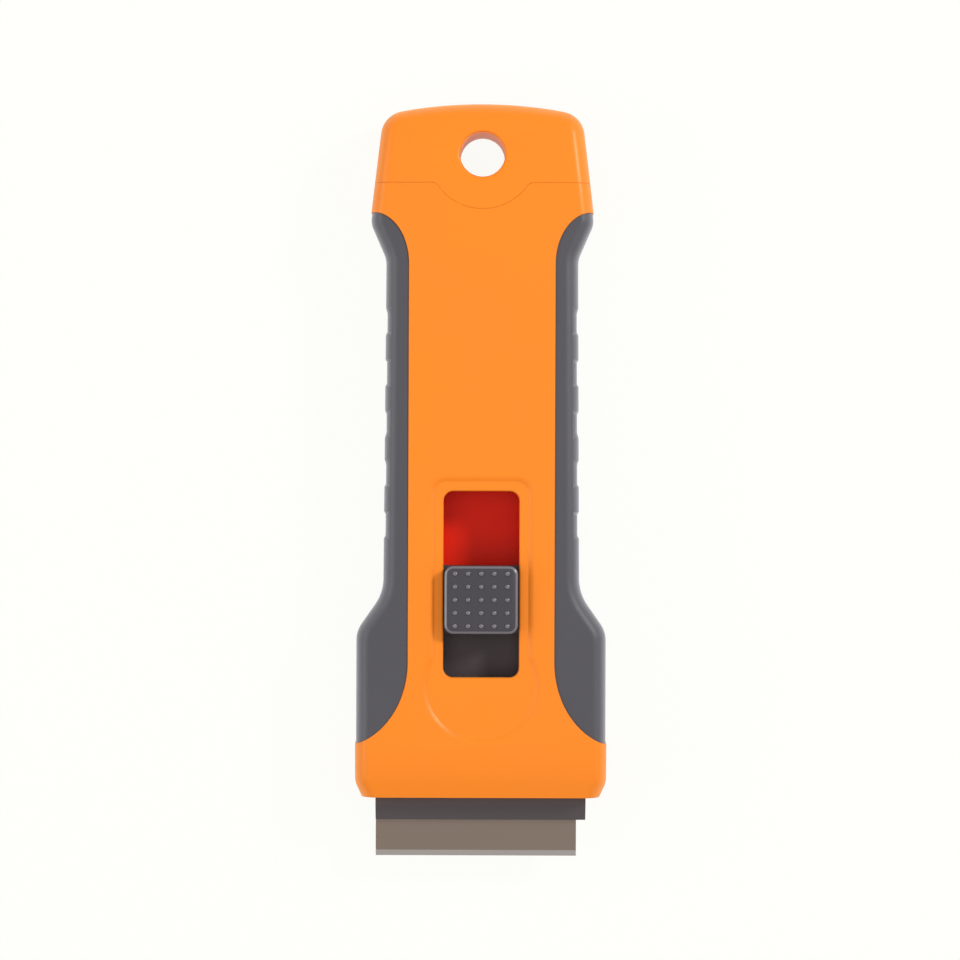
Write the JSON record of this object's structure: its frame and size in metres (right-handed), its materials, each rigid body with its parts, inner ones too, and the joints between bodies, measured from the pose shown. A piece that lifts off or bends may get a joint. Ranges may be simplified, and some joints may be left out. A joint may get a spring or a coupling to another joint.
{
  "type": "ceramic hob scraper",
  "caption": "Flat handheld hob scraper: two-shell handle with soft side grips, a locking thumb slider carrying a steel blade, and a pull-off end cap with a hanging hole and a blade tray.",
  "frame": {"origin": "middle of the object's footprint, on the plane of the flat back that it lies on", "axes": "+Y up the handle to the hanging hole, -Y to the blade's edge, +Z out of the front face with the thumb slider, +X to the right seen from the front"},
  "size_m": [0.0494, 0.148, 0.0185],
  "materials": {
    "orange_abs": "moulded orange ABS, satin",
    "grip_tpe": "matt thermoplastic elastomer overmould",
    "red_abs": "moulded red plastic, smooth",
    "holder_nylon": "moulded dark grey nylon, fine matt",
    "button_nylon": "moulded grey nylon, satin",
    "tray_pp": "moulded grey polypropylene",
    "blade_steel": "rolled strip steel with a ground edge",
    "screw_steel": "zinc-plated steel",
    "spring_steel": "blued spring strip"
  },
  "bodies": {
    "handle": {"front_shell": "orange_abs", "rear_shell": "orange_abs", "left_grip": "grip_tpe", "right_grip": "grip_tpe", "track_plate": "red_abs", "shell_screws": "screw_steel"},
    "cap": {"end_cap": "orange_abs", "blade_tray": "tray_pp", "tray_screws": "screw_steel", "spare_blades": "blade_steel"},
    "slider": {"carrier": "holder_nylon", "blade_clamp": "holder_nylon", "clamp_screws": "screw_steel", "blade_stud": "screw_steel", "blade": "blade_steel", "lock_spring": "spring_steel", "spring_rivets": "screw_steel"},
    "button": {"button": "button_nylon"}
  },
  "joints": [
    {"name": "slider_travel", "type": "slide", "parent": "handle", "child": "slider", "axis": [0, -1, 0], "range_m": [-0.0144, 0.0085]},
    {"name": "button_press", "type": "slide", "parent": "slider", "child": "button", "axis": [0, 0, -1], "range_m": [0, 0.0012], "stiffness_N_per_m": 1500, "springref_m": -0.0012, "deforming": ["lock_spring"]},
    {"name": "cap_pull", "type": "slide", "parent": "handle", "child": "cap", "axis": [0, 1, 0], "range_m": [0, 0.055]}
  ]
}
